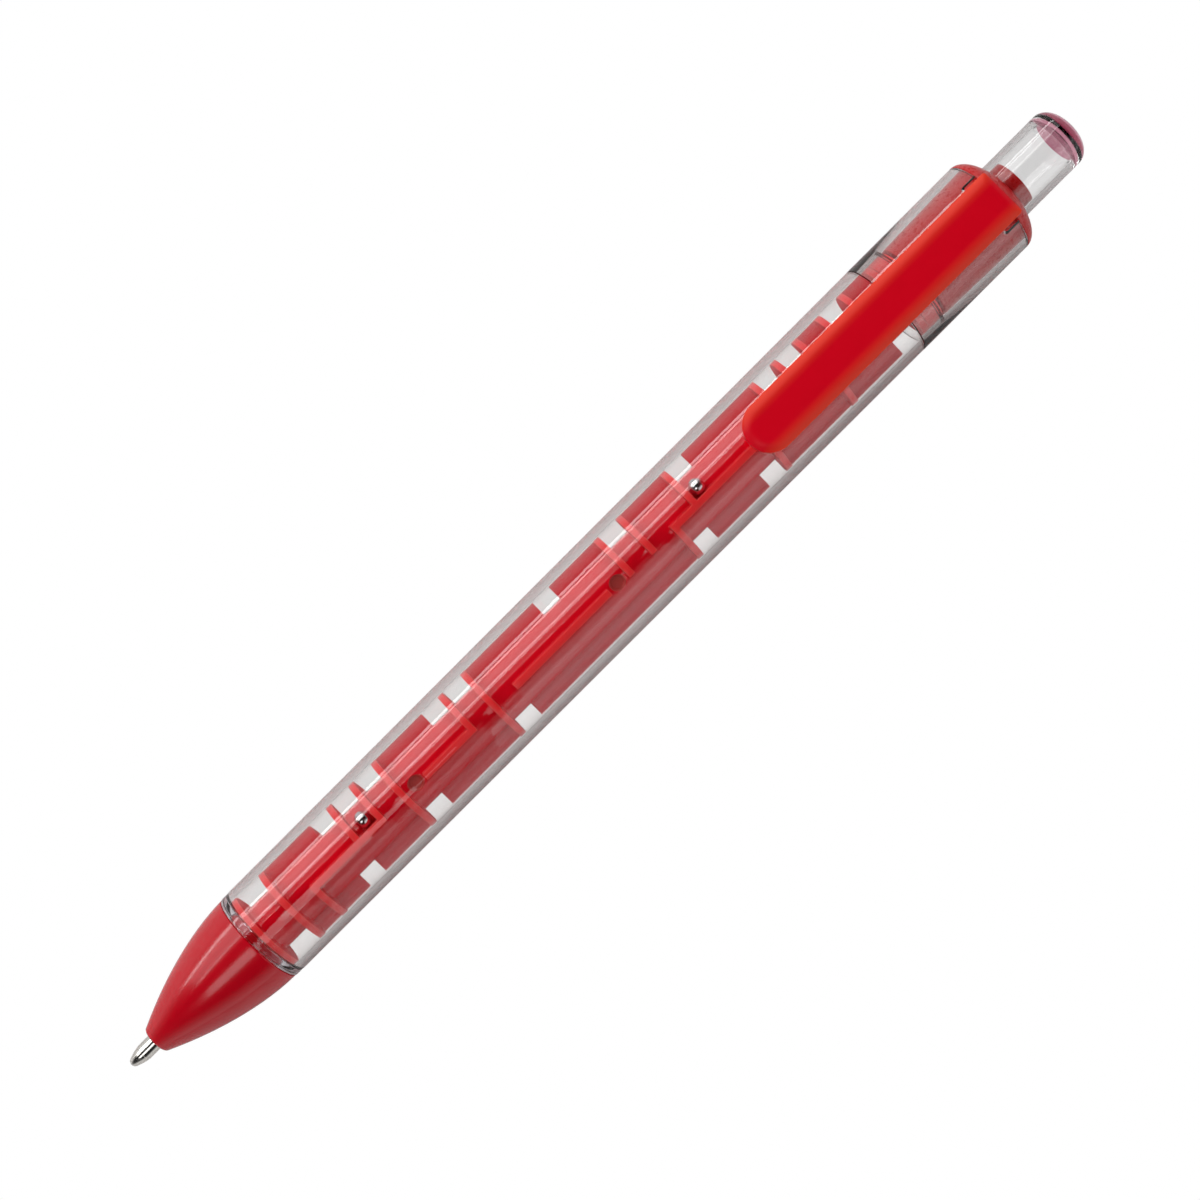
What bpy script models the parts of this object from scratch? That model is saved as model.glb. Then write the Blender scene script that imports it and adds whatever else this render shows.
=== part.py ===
"""A retractable ballpoint pen whose clear barrel holds a maze core and two loose steel balls.

The pen lies on its side along X: writing point at -X, push button at +X, clip on top (+Z).
Its lowest facet rests on Z = 0. Sizes are written in millimetres, and MM turns them into
metres where a mesh is made. Angles about the pen's axis start at +Z and grow towards +Y.
"""

import math

import bmesh
import bpy

MM = 0.001

# Driving dimensions -------------------------------------------------------------------------
ROUND_SEGMENTS = 48
BARREL_R = 6.0
AXIS_HEIGHT = BARREL_R * math.cos(math.pi / ROUND_SEGMENTS)

POINT_X = -72.8
NOSE_FRONT_X = -68.97
NOSE_REAR_X = -53.05
RING_FRONT_X = -52.97
BARREL_FRONT_X = -51.89
BARREL_JOINT_X = 44.38
NECK_END_X = 47.58
BARREL_REAR_X = 60.41
BUTTON_END_X = 72.8

WALL_R = 4.78
CORE_R = 2.95
CORE_BORE_R = 2.1
BORE_FRONT_R = 4.86
BORE_REAR_R = 4.9
WALL_THICKNESS = 0.75

BALL_R = 0.92
BALL_TRACK_R = 3.88
POINT_BALL_R = 0.35

CLEARANCE = 0.04
STUB_R = 3.7
STUB_BORE_R = 3.85
SPRING_BORE_R = 2.1
REFILL_R = 1.5
REFILL_BORE_R = 1.0
TIP_R = 0.97
NOSE_HOLE_R = 1.12

SKIRT_R = 4.98
SKIRT_BORE_R = 4.05
BUTTON_R = 3.57
BUTTON_HOLE_R = 3.7
BUTTON_BORE_R = 2.8
PLUNGER_R = 2.72

CLIP_TIP_X = 22.55
CLIP_REAR_X = 60.6
CLIP_HALF_WIDTH = 2.95
CLIP_UNDERSIDE = 6.95
CLIP_TOP = 8.25
CLIP_PIVOT = (59.45, 0.0, 5.2)

# The maze -----------------------------------------------------------------------------------
# Four lines run along the core, a quarter turn apart: line 0 faces the clip, line 1 faces +Y.
# Quadrant q lies between line q and line q + 1. Each cross wall has its place along X and the
# quadrants that it crosses.
LINE_TILT = -6.1
CROSS_WALLS = {
    "a": (-47.41, (0, 3)),
    "b": (-43.98, (2, 3)),
    "v": (-40.455, (1,)),
    "c": (-37.05, (0,)),
    "d": (-33.63, (0, 1)),
    "e": (-30.2, (0, 3)),
    "t": (-24.0, (1,)),
    "f": (-19.9, (0, 1, 2)),
    "g": (-16.46, (0, 2, 3)),
    "u": (-9.0, (1,)),
    "x": (-5.2, (2,)),
    "h": (4.04, (0,)),
    "i": (7.44, (0, 2)),
    "l": (10.87, (1, 3)),
    "j": (14.23, (0,)),
    "y": (18.0, (2,)),
    "p": (24.5, (3,)),
    "k": (27.83, (0, 1)),
    "m": (31.25, (0, 1)),
    "n": (34.54, (0, 3)),
    "o": (38.02, (0, 2)),
    "s": (41.47, (0, 1)),
}
# Each long wall runs between two ends: a number is a free end, a letter is a cross wall that
# it meets, and "rear" is the rear flange.
LONG_WALLS = (
    (("b", "d"), (-27.1, "f"), (-13.4, 1.0), ("l", "p"), ("m", "n")),
    (
        ("a", "v"),
        ("e", -22.81),
        ("g", -5.7),
        (-3.23, "h"),
        ("i", "j"),
        (17.15, "k"),
        ("n", "o"),
        ("s", "rear"),
    ),
    (
        ("b", "v"),
        (-37.4, "d"),
        (-27.0, "f"),
        (-12.5, "x"),
        (2.0, "i"),
        ("l", "y"),
        (21.3, "k"),
        ("m", "o"),
    ),
    (
        ("a", -40.0),
        (-37.65, "e"),
        (-27.3, "g"),
        (-13.55, "l"),
        (13.7, 21.68),
        ("p", 42.15),
    ),
)
GAP_COLUMNS = 7
FRONT_FLANGE = (-51.86, -51.2)
REAR_FLANGE = (45.2, 46.0)
BUSHING = (46.08, 48.3)
BUSHING_BORE_R = 3.7
# Goal holes, where a ball can settle: place along X and angle.
GOAL_HOLES = ((-28.36, -4.5), (2.35, LINE_TILT))
GOAL_HOLE_R = 0.76
GOAL_RIM_R = 1.08

MAZE_BALL_A = (-35.14, 14.7)
MAZE_BALL_B = (15.69, 13.4)


# Materials ----------------------------------------------------------------------------------
def material(name, colour, roughness, metallic=0.0, transmission=0.0):
    made = bpy.data.materials.new(name)
    made.use_nodes = True
    shader = made.node_tree.nodes["Principled BSDF"]
    shader.inputs["Base Color"].default_value = (*colour, 1.0)
    shader.inputs["Roughness"].default_value = roughness
    shader.inputs["Metallic"].default_value = metallic
    shader.inputs["Transmission Weight"].default_value = transmission
    return made


# Mesh helpers -------------------------------------------------------------------------------
def around(x, radius, degrees):
    """The point at that radius and angle about the pen's axis, in metres."""
    angle = math.radians(degrees)
    return (x * MM, radius * math.sin(angle) * MM, radius * math.cos(angle) * MM)


def add_object(name, mesh_maker, finish, parent, location=(0.0, 0.0, 0.0)):
    mesh = bpy.data.meshes.new(name)
    bmesh.ops.recalc_face_normals(mesh_maker, faces=mesh_maker.faces)
    mesh_maker.to_mesh(mesh)
    mesh_maker.free()
    mesh.shade_smooth()
    mesh.set_sharp_from_angle(angle=math.radians(30))
    made = bpy.data.objects.new(name, mesh)
    bpy.context.collection.objects.link(made)
    if finish:
        mesh.materials.append(finish)
    made.parent = parent
    made.location = [value * MM for value in location]
    return made


def add_empty(name, parent=None, location=(0.0, 0.0, 0.0)):
    made = bpy.data.objects.new(name, None)
    made.empty_display_size = 2 * MM
    bpy.context.collection.objects.link(made)
    made.parent = parent
    made.location = [value * MM for value in location]
    return made


def as_helper(helper):
    """A cutter, or a shape that a Boolean joins to another: not a piece of its own."""
    helper.hide_render = True
    helper.display_type = "WIRE"
    return helper


def combine(piece, operation, helper):
    modifier = piece.modifiers.new(operation.title(), "BOOLEAN")
    modifier.operation = operation
    modifier.object = as_helper(helper)


def skin_columns(maker, columns):
    """Faces between neighbouring columns of a closed profile, all the way round."""
    for k, near in enumerate(columns):
        far = columns[(k + 1) % len(columns)]
        for i in range(len(near)):
            j = (i + 1) % len(near)
            corners = list(dict.fromkeys((near[i], far[i], far[j], near[j])))
            if len(corners) > 2:
                maker.faces.new(corners)


def turned_mesh(profile, segments=ROUND_SEGMENTS, crown=None):
    """The closed profile of (x, radius) points turned about X. A point at radius 0 is a pole.
    crown(i, k) moves point i of column k along X, for toothed ends."""
    maker = bmesh.new()
    step = 360.0 / segments
    poles = {i: maker.verts.new(around(x, 0, 0)) for i, (x, r) in enumerate(profile) if r == 0}
    columns = []
    for k in range(segments):
        column = []
        for i, (x, radius) in enumerate(profile):
            shift = crown(i, k) if crown else 0.0
            point = around(x + shift, radius, (k + 0.5) * step)
            column.append(poles[i] if i in poles else maker.verts.new(point))
        columns.append(column)
    skin_columns(maker, columns)
    return maker


def turned(name, profile, finish, parent, location=(0.0, 0.0, 0.0), **options):
    return add_object(name, turned_mesh(profile, **options), finish, parent, location)


def block(name, low, high, parent):
    """A box between two corners, in millimetres about its parent's origin."""
    maker = bmesh.new()
    bmesh.ops.create_cube(maker, size=1.0)
    for vert in maker.verts:
        for axis in range(3):
            share = vert.co[axis] + 0.5
            vert.co[axis] = (low[axis] + share * (high[axis] - low[axis])) * MM
    return add_object(name, maker, None, parent)


def fin(name, span, radii, width, slant, degrees, parent):
    """A radial fin between two radii, its front end slanted by slant, turned about the axis."""
    maker = bmesh.new()
    corners = []
    for side in (-1, 1):
        front = span[0] + (slant if side > 0 else 0.0)
        rear, inner, outer = span[1], *radii
        for x, r in ((front, inner), (rear, inner), (rear, outer), (front, outer)):
            corners.append(maker.verts.new((x * MM, side * width / 2 * MM, r * MM)))
    left, right = corners[:4], corners[4:]
    maker.faces.new(left)
    maker.faces.new(reversed(right))
    for i in range(4):
        j = (i + 1) % 4
        maker.faces.new((left[j], left[i], right[i], right[j]))
    made = add_object(name, maker, None, parent)
    made.rotation_euler.x = -math.radians(degrees)
    return made


# Fixed shells -------------------------------------------------------------------------------
def nose_outline(points=11, power=1.78, front_r=1.72, rear_r=5.78, start=0.15):
    """The nose's swelling outer profile, from just behind its front chamfer to its rear edge."""
    first = NOSE_FRONT_X + start
    outline = []
    for i in range(points + 1):
        t = i / points
        radius = front_r + (rear_r - front_r) * (1 - (1 - t) ** power)
        outline.append((first + t * (NOSE_REAR_X - first), radius))
    return outline


def build_nose(finish, parent):
    shoulder_x, socket_x = -65.5, -58.0
    profile = [(NOSE_FRONT_X, NOSE_HOLE_R), (NOSE_FRONT_X, 1.55)]
    profile += nose_outline()
    profile += [
        (NOSE_REAR_X, STUB_BORE_R),
        (socket_x, STUB_BORE_R),
        (socket_x, 2.6),
        (socket_x - 0.5, SPRING_BORE_R),
        (shoulder_x, SPRING_BORE_R),
        (shoulder_x, NOSE_HOLE_R),
    ]
    turned("nose_cone", profile, finish, parent)


def build_spacer_ring(finish, parent):
    outer, rear, edge = 5.83, BARREL_FRONT_X - CLEARANCE, 0.12
    profile = [
        (RING_FRONT_X, STUB_BORE_R),
        (RING_FRONT_X, outer - edge),
        (RING_FRONT_X + edge, outer),
        (rear - edge, outer),
        (rear, outer - edge),
        (rear, STUB_BORE_R),
    ]
    turned("spacer_ring", profile, finish, parent)


def build_front_barrel(finish, parent):
    front_r, rear_r, neck_r, edge = 5.86, 5.98, 5.45, 0.12
    profile = [
        (BARREL_FRONT_X, BORE_FRONT_R),
        (BARREL_FRONT_X, front_r - edge),
        (BARREL_FRONT_X + edge, front_r),
        (BARREL_JOINT_X, rear_r),
        (BARREL_JOINT_X, neck_r),
        (NECK_END_X, neck_r),
        (NECK_END_X, BORE_REAR_R),
    ]
    turned("front_barrel", profile, finish, parent)


def build_rear_barrel(finish, parent):
    socket_r, bore_r, socket_end = 5.52, 5.05, NECK_END_X + 0.25
    front = BARREL_JOINT_X + 0.1
    profile = [
        (front, socket_r),
        (front, BARREL_R),
        (BARREL_REAR_X, BARREL_R),
        (BARREL_REAR_X, bore_r),
        (socket_end, bore_r),
        (socket_end, socket_r),
    ]
    barrel = turned("rear_barrel", profile, finish, parent)
    notch_x, notch_half = 58.4, 3.27
    low = (notch_x, -notch_half, 2.0)
    high = (BARREL_REAR_X + 1.0, notch_half, BARREL_R + 1.0)
    combine(barrel, "DIFFERENCE", block("cut_clip_notch", low, high, parent))


def build_cap(finish, parent):
    base_x, dome_height, shoulder_x, skirt_front = 60.45, 2.65, 62.2, 48.6
    dome = []
    steps = 6
    last = math.acos(BUTTON_HOLE_R / BARREL_R)
    for i in range(steps + 1):
        angle = last * i / steps
        dome.append((base_x + dome_height * math.sin(angle), BARREL_R * math.cos(angle)))
    profile = [
        (skirt_front, SKIRT_BORE_R),
        (skirt_front, SKIRT_R - 0.2),
        (skirt_front + 0.2, SKIRT_R),
        (base_x, SKIRT_R),
        *dome,
        (shoulder_x, BUTTON_HOLE_R),
        (shoulder_x, SKIRT_BORE_R),
    ]
    cap = turned("cap", profile, finish, parent)
    pocket_floor = 4.55
    low, high = (58.45, -3.1, pocket_floor), (60.42, 3.1, BARREL_R + 1.0)
    combine(cap, "DIFFERENCE", block("cut_clip_pocket", low, high, parent))


def build_cam_sleeve(finish, parent):
    outer, bore, front, rear, ribs_r = 4.0, 3.6, 48.7, 55.8, 3.0
    profile = [(front, bore), (front, outer), (rear, outer), (rear, bore)]
    sleeve = turned("cam_sleeve", profile, finish, parent)
    for k in range(4):
        span = (front + 0.5, rear)
        rib = fin(f"rib_{k}", span, (ribs_r, bore + 0.2), 1.0, 0.6, 90 * k, parent)
        combine(sleeve, "UNION", rib)


# The maze core ------------------------------------------------------------------------------
def wall_end(end, outward):
    """Where a long wall ends: a free end as it is, or the far face of the cross wall it meets."""
    if end == "rear":
        return REAR_FLANGE[0]
    if isinstance(end, str):
        return CROSS_WALLS[end][0] + outward * WALL_THICKNESS / 2
    return end


def long_wall_spans():
    """(line, first x, last x) of every long wall."""
    spans = []
    for line, walls in enumerate(LONG_WALLS):
        for first, last in walls:
            spans.append((line, wall_end(first, -1), wall_end(last, 1)))
    return spans


def column_edges(radius):
    """The angles between the core's columns at that radius. Each line has one narrow column,
    as wide as a wall, and the quadrant after it has GAP_COLUMNS wider ones."""
    half = math.degrees(math.asin(WALL_THICKNESS / 2 / radius))
    edges = []
    for line in range(4):
        centre = LINE_TILT + 90 * line
        edges.append(centre - half)
        for n in range(GAP_COLUMNS):
            edges.append(centre + half + (90 - 2 * half) * n / GAP_COLUMNS)
    return edges


def raised_cells(stations):
    """The set of (station, column) cells that stand at the walls' height."""
    per_quadrant = GAP_COLUMNS + 1
    every_column = 4 * per_quadrant
    spans = [(FRONT_FLANGE, range(every_column)), (REAR_FLANGE, range(every_column))]
    for x, quadrants in CROSS_WALLS.values():
        faces = (x - WALL_THICKNESS / 2, x + WALL_THICKNESS / 2)
        for q in quadrants:
            spans.append((faces, range(q * per_quadrant, (q + 1) * per_quadrant + 1)))
    for line, first, last in long_wall_spans():
        spans.append(((first, last), (line * per_quadrant,)))
    raised = set()
    for (first, last), columns in spans:
        for i in range(len(stations) - 1):
            if first < (stations[i] + stations[i + 1]) / 2 < last:
                raised.update((i, c % every_column) for c in columns)
    return raised


def core_stations():
    places = [*FRONT_FLANGE, *REAR_FLANGE]
    for x, _ in CROSS_WALLS.values():
        places += [x - WALL_THICKNESS / 2, x + WALL_THICKNESS / 2]
    for _, first, last in long_wall_spans():
        places += [first, last]
    return sorted({round(x, 4) for x in places})


def core_mesh():
    """The outer skin steps between the core's surface and the walls' tops, cell by cell; plain
    turned loops then close it through the front stub, the bore and the rear pocket."""
    maker = bmesh.new()
    stations, edges = core_stations(), {CORE_R: column_edges(CORE_R), WALL_R: column_edges(WALL_R)}
    raised = raised_cells(stations)
    count = 4 * (GAP_COLUMNS + 1)
    made = {}

    def corner(i, c, radius):
        key = (i, c % count, radius)
        if key not in made:
            made[key] = maker.verts.new(around(stations[i], radius, edges[radius][c % count]))
        return made[key]

    def height(i, c):
        return WALL_R if (i, c % count) in raised else CORE_R

    for i in range(len(stations) - 1):
        for c in range(count):
            r = height(i, c)
            near = (corner(i, c, r), corner(i + 1, c, r))
            maker.faces.new((*near, corner(i + 1, c + 1, r), corner(i, c + 1, r)))
            if height(i, c + 1) != r:
                side = [corner(i, c + 1, r), corner(i + 1, c + 1, r)]
                other = height(i, c + 1)
                maker.faces.new((*side, corner(i + 1, c + 1, other), corner(i, c + 1, other)))
            if i + 2 < len(stations) and height(i + 1, c) != r:
                side = [corner(i + 1, c, r), corner(i + 1, c + 1, r)]
                other = height(i + 1, c)
                maker.faces.new((*side, corner(i + 1, c + 1, other), corner(i + 1, c, other)))

    stub_front = -57.6
    plain = [
        (FRONT_FLANGE[0], STUB_R),
        (stub_front, STUB_R),
        (stub_front, CORE_BORE_R),
        (REAR_FLANGE[0], CORE_BORE_R),
        (REAR_FLANGE[0], BUSHING_BORE_R),
        (REAR_FLANGE[1], BUSHING_BORE_R),
    ]
    loops = [[corner(0, c, WALL_R) for c in range(count)]]
    for x, radius in plain:
        loops.append([maker.verts.new(around(x, radius, edges[WALL_R][c])) for c in range(count)])
    loops.append([corner(len(stations) - 1, c, WALL_R) for c in range(count)])
    for near, far in zip(loops, loops[1:]):
        for c in range(count):
            d = (c + 1) % count
            maker.faces.new((near[c], near[d], far[d], far[c]))
    return maker


def build_core_bushing(finish, parent):
    """The ring behind the core's rear flange, which keeps the core in the barrel."""
    front, rear = BUSHING
    profile = [(front, BUSHING_BORE_R), (front, WALL_R), (rear, WALL_R), (rear, BUSHING_BORE_R)]
    turned("core_bushing", profile, finish, parent)


def build_maze_core(finish, parent):
    core = add_object("maze_core", core_mesh(), finish, parent)
    for number, (x, degrees) in enumerate(GOAL_HOLES):
        inside, rim_depth, outside = 1.6, CORE_R - 0.4, CORE_R + 0.25
        slope = (GOAL_RIM_R - GOAL_HOLE_R) / (CORE_R - rim_depth)
        profile = [
            (inside, 0),
            (inside, GOAL_HOLE_R),
            (rim_depth, GOAL_HOLE_R),
            (outside, GOAL_HOLE_R + slope * (outside - rim_depth)),
            (outside, 0),
        ]
        cutter = turned(f"cut_goal_{number}", profile, None, parent, location=(x, 0, 0), segments=20)
        # The cutter's own axis is turned from X to point straight out of the core.
        cutter.rotation_euler = (-math.radians(degrees), -math.pi / 2, 0)
        combine(core, "DIFFERENCE", cutter)


# The refill ---------------------------------------------------------------------------------
def build_refill(metal, tube_finish, ink_finish, parent):
    lip_x, shoulder_x, shoulder_r, seat_x, tail_x = -72.62, -64.5, 1.25, -57.0, -54.0
    feed_r, bore_r, socket_r, lip_r = 0.2, 0.5, 0.38, 0.33
    tip = [
        (lip_x, lip_r),
        (lip_x, 0.43),
        (-72.3, 0.57),
        (-71.75, 0.79),
        (-70.95, 0.94),
        (-70.85, TIP_R),
        (shoulder_x, TIP_R),
        (shoulder_x, shoulder_r),
        (seat_x, shoulder_r),
        (seat_x, TIP_R - 0.01),
        (tail_x, TIP_R - 0.01),
        (tail_x, bore_r),
        (-66.0, bore_r),
        (-66.2, feed_r),
        (-71.8, feed_r),
        (-72.0, socket_r),
        (-72.45, socket_r),
    ]
    turned("refill_tip", tip, metal, parent, segments=24)

    front, rear, collar_r, collar = -56.9, 42.0, 1.9, (-53.4, -52.4)
    tube = [
        (front, REFILL_BORE_R),
        (front, REFILL_R),
        (collar[0], REFILL_R),
        (collar[0], collar_r),
        (collar[1] - 0.3, collar_r),
        (collar[1], REFILL_R),
        (rear, REFILL_R),
        (rear, REFILL_BORE_R),
    ]
    turned("refill_tube", tube, tube_finish, parent, segments=24)

    ink = [(-53.9, 0), (-53.9, 0.95), (18.0, 0.95), (18.4, 0)]
    turned("ink_column", ink, ink_finish, parent, segments=16)


def build_writing_ball(finish, parent):
    maker = bmesh.new()
    bmesh.ops.create_uvsphere(maker, u_segments=16, v_segments=10, radius=POINT_BALL_R * MM)
    add_object("writing_ball", maker, finish, parent)


def build_return_spring(finish, parent):
    """A compression spring between the nose's inner shoulder and the refill's collar."""
    first, last, mean_r, wire_r, turns, per_turn = -65.2, -53.6, 1.72, 0.16, 9, 12
    spring = bpy.data.curves.new("return_spring", "CURVE")
    spring.dimensions = "3D"
    spring.bevel_depth = wire_r * MM
    spring.bevel_resolution = 1
    spring.use_fill_caps = True
    spline = spring.splines.new("POLY")
    count = turns * per_turn
    spline.points.add(count)
    for i in range(count + 1):
        t = i / count
        spline.points[i].co = (*around(first + t * (last - first), mean_r, 360 * turns * t), 1.0)
    made = bpy.data.objects.new("return_spring", spring)
    bpy.context.collection.objects.link(made)
    spring.materials.append(finish)
    made.parent = parent


# The click mechanism ------------------------------------------------------------------------
def build_push_button(finish, parent):
    foot_x, flange_x, flange_r, bore_end, edge = 56.95, 57.75, 3.95, 71.0, 1.8
    rounded = []
    steps = 6
    for i in range(steps + 1):
        angle = math.pi / 2 * i / steps
        x = BUTTON_END_X - edge + edge * math.sin(angle)
        rounded.append((x, BUTTON_R - 2.4 + 2.4 * math.cos(angle)))
    profile = [
        (foot_x, BUTTON_BORE_R),
        (foot_x, flange_r),
        (flange_x, flange_r),
        (flange_x, BUTTON_R),
        *rounded,
        (BUTTON_END_X, 0),
        (bore_end, 0),
        (bore_end, BUTTON_BORE_R - 0.5),
        (bore_end - 0.5, BUTTON_BORE_R),
    ]
    turned("push_button", profile, finish, parent)


def zigzag(points, height):
    """A crown function: those profile points rise and fall by height, eight teeth all round."""
    per_tooth = ROUND_SEGMENTS // 8

    def shift(i, k):
        if i not in points:
            return 0.0
        place = (k % per_tooth) / per_tooth
        return height * (1 - abs(2 * place - 1))

    return shift


def build_plunger(finish, parent):
    front, rear, bore_r, key_r = 49.9, 64.3, 1.5, 3.45
    profile = [(front, bore_r), (front, PLUNGER_R), (rear - 0.3, PLUNGER_R), (rear, PLUNGER_R - 0.3)]
    profile += [(rear, 0), (front + 8.0, 0), (front + 8.0, bore_r)]
    crown = zigzag((0, 1), 0.8)
    plunger = turned("plunger", profile, finish, parent, crown=crown)
    for k in range(4):
        key = fin(f"key_{k}", (50.2, 52.0), (bore_r + 0.6, key_r), 0.9, 0.0, 45 + 90 * k, parent)
        combine(plunger, "UNION", key)


def build_cam_rotor(finish, parent):
    plug_x, neck_x, body_x, crown_x = 40.5, 42.15, 46.4, 48.7
    profile = [
        (plug_x, 0),
        (plug_x, 0.85),
        (neck_x, 0.85),
        (neck_x, 1.85),
        (body_x, 1.85),
        (body_x, 2.6),
        (crown_x, 2.6),
        (crown_x, 1.4),
        (crown_x - 1.2, 1.4),
        (crown_x - 1.2, 0),
    ]
    rotor = turned("cam_rotor", profile, finish, parent, crown=zigzag((6, 7), 0.8))
    for k in range(4):
        wing = fin(f"wing_{k}", (46.7, 48.4), (2.0, 2.9), 0.9, 0.0, 90 * k, parent)
        combine(rotor, "UNION", wing)


def build_clip(finish, parent):
    """The clip's plate, with a tongue that drops into the cap and a bump that grips cloth."""
    px, _, pz = CLIP_PIVOT
    maker = bmesh.new()
    arc_centre, arc_steps = CLIP_TIP_X + CLIP_HALF_WIDTH, 14
    outline = [(CLIP_REAR_X, -CLIP_HALF_WIDTH), (CLIP_REAR_X, CLIP_HALF_WIDTH)]
    for i in range(arc_steps + 1):
        angle = math.pi / 2 + math.pi * i / arc_steps
        x = arc_centre + CLIP_HALF_WIDTH * math.cos(angle)
        outline.append((x, CLIP_HALF_WIDTH * math.sin(angle)))
    floor = [((x - px) * MM, y * MM, (CLIP_UNDERSIDE - pz) * MM) for x, y in outline]
    plate = maker.faces.new([maker.verts.new(point) for point in floor])
    lifted = bmesh.ops.extrude_face_region(maker, geom=[plate])["geom"]
    top = [item for item in lifted if isinstance(item, bmesh.types.BMFace)][0]
    rise = (CLIP_TOP - CLIP_UNDERSIDE) * MM
    bmesh.ops.translate(maker, verts=top.verts, vec=(0, 0, rise))
    edges = top.edges[:]
    bmesh.ops.bevel(maker, geom=edges, offset=0.25 * MM, segments=2, profile=0.5, affect="EDGES")
    clip = add_object("clip", maker, finish, parent)

    tongue_half = 2.9
    tongue_low = (58.57 - px, -tongue_half, 4.65 - pz)
    tongue_high = (60.25 - px, tongue_half, CLIP_UNDERSIDE + 0.4 - pz)
    combine(clip, "UNION", block("join_tongue", tongue_low, tongue_high, parent))

    bump_x, bump_r, bump_low, bump_half = 25.8, 0.85, 6.12, 2.0
    bump = bmesh.new()
    bmesh.ops.create_cone(
        bump,
        cap_ends=True,
        segments=20,
        radius1=bump_r * MM,
        radius2=bump_r * MM,
        depth=2 * bump_half * MM,
    )
    centre = (bump_x - px, 0, bump_low + bump_r - pz)
    joined = add_object("join_bump", bump, None, parent, location=centre)
    joined.rotation_euler.x = math.pi / 2
    combine(clip, "UNION", joined)


def build_maze_ball(name, finish, parent, x, degrees):
    maker = bmesh.new()
    bmesh.ops.create_icosphere(maker, subdivisions=3, radius=BALL_R * MM)
    ball = add_object(name, maker, finish, parent)
    ball.location = around(x, BALL_TRACK_R, degrees)


def main():
    for old in list(bpy.data.objects):
        bpy.data.objects.remove(old)

    red = material("red_plastic", (0.62, 0.004, 0.012), 0.18)
    clear = material("clear_plastic", (0.94, 0.95, 0.96), 0.03, transmission=1.0)
    white = material("white_plastic", (0.85, 0.84, 0.8), 0.35)
    nickel = material("nickel_silver", (0.72, 0.7, 0.64), 0.22, metallic=1.0)
    steel = material("polished_steel", (0.8, 0.8, 0.82), 0.08, metallic=1.0)
    tube = material("refill_plastic", (0.82, 0.82, 0.8), 0.3, transmission=0.4)
    ink = material("ink", (0.01, 0.02, 0.12), 0.3)

    axis = add_empty("pen_axis", location=(0, 0, AXIS_HEIGHT))
    thread = add_empty("nose_advance_axis", axis)
    nose = add_empty("nose_turn_axis", thread)
    button = add_empty("button_slide_axis", axis)
    refill = add_empty("refill_slide_axis", axis)
    cam = add_empty("cam_turn_axis", refill)
    point = add_empty("writing_ball_centre", refill, (POINT_X + POINT_BALL_R, 0, 0))
    flex = add_empty("clip_flex_axis", axis, CLIP_PIVOT)
    orbit = add_empty("ball_orbit_axis", axis)
    track = add_empty("ball_track_axis", axis)

    build_nose(red, nose)
    build_spacer_ring(clear, thread)
    build_front_barrel(clear, axis)
    build_rear_barrel(clear, axis)
    build_cap(red, axis)
    build_cam_sleeve(white, axis)
    build_maze_core(red, axis)
    build_core_bushing(red, axis)
    build_return_spring(steel, axis)
    build_refill(nickel, tube, ink, refill)
    build_writing_ball(steel, point)
    build_push_button(clear, button)
    build_plunger(red, button)
    build_cam_rotor(white, cam)
    build_clip(red, flex)
    build_maze_ball("maze_ball_a", steel, orbit, *MAZE_BALL_A)
    build_maze_ball("maze_ball_b", steel, track, *MAZE_BALL_B)


main()
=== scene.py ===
"""The looks of a retractable maze pen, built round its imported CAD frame.

The pen lies along X with its writing point at -X and its clip up. Lengths in this script are in
millimetres, and MM turns them into metres where a mesh or an object is made. Angles about the
pen's axis start at +Z and grow towards +Y.
"""

import math

import bmesh
import bpy
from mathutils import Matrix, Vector


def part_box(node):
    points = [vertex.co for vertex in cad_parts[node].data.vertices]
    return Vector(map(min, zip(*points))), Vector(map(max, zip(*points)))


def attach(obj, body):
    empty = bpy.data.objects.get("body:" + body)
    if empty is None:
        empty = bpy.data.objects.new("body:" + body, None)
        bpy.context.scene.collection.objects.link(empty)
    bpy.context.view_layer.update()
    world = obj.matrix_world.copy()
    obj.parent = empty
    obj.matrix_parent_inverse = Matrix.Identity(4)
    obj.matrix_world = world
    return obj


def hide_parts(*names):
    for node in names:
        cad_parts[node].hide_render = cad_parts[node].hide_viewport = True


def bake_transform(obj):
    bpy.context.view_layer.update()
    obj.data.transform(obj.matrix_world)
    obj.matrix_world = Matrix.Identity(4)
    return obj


MM = 0.001
PLASTIC_IOR = 1.49
# Steps in a full turn of most of the turned pieces.
ROUND = 160
# Radii of the maze core's channel floor and of its walls' tops, and the walls' thickness.
CORE_R = 2.95
WALL_R = 4.78
WALL = 0.75
# Radius of the rear barrel, and of the cap's dome where it starts.
REAR_R = 6.0
# Radius of the hole in the nose and the spacer ring, which the core's stub sits in.
SOCKET_R = 3.85

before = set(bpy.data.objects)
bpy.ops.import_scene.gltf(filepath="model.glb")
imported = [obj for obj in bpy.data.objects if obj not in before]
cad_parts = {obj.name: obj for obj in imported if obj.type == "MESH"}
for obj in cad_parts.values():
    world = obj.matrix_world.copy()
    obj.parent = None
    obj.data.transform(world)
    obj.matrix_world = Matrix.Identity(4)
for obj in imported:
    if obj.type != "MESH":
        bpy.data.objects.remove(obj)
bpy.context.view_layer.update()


# Places read from the frame -------------------------------------------------------------------
def node_box(node):
    """The node's lowest and highest corner, in millimetres."""
    low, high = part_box(node)
    return [value / MM for value in low], [value / MM for value in high]


def span(node):
    """The node's first and last x, in millimetres."""
    low, high = node_box(node)
    return low[0], high[0]


core_low, core_high = node_box("maze_core")
AXIS_Z = core_low[2] / 2 + core_high[2] / 2


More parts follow.
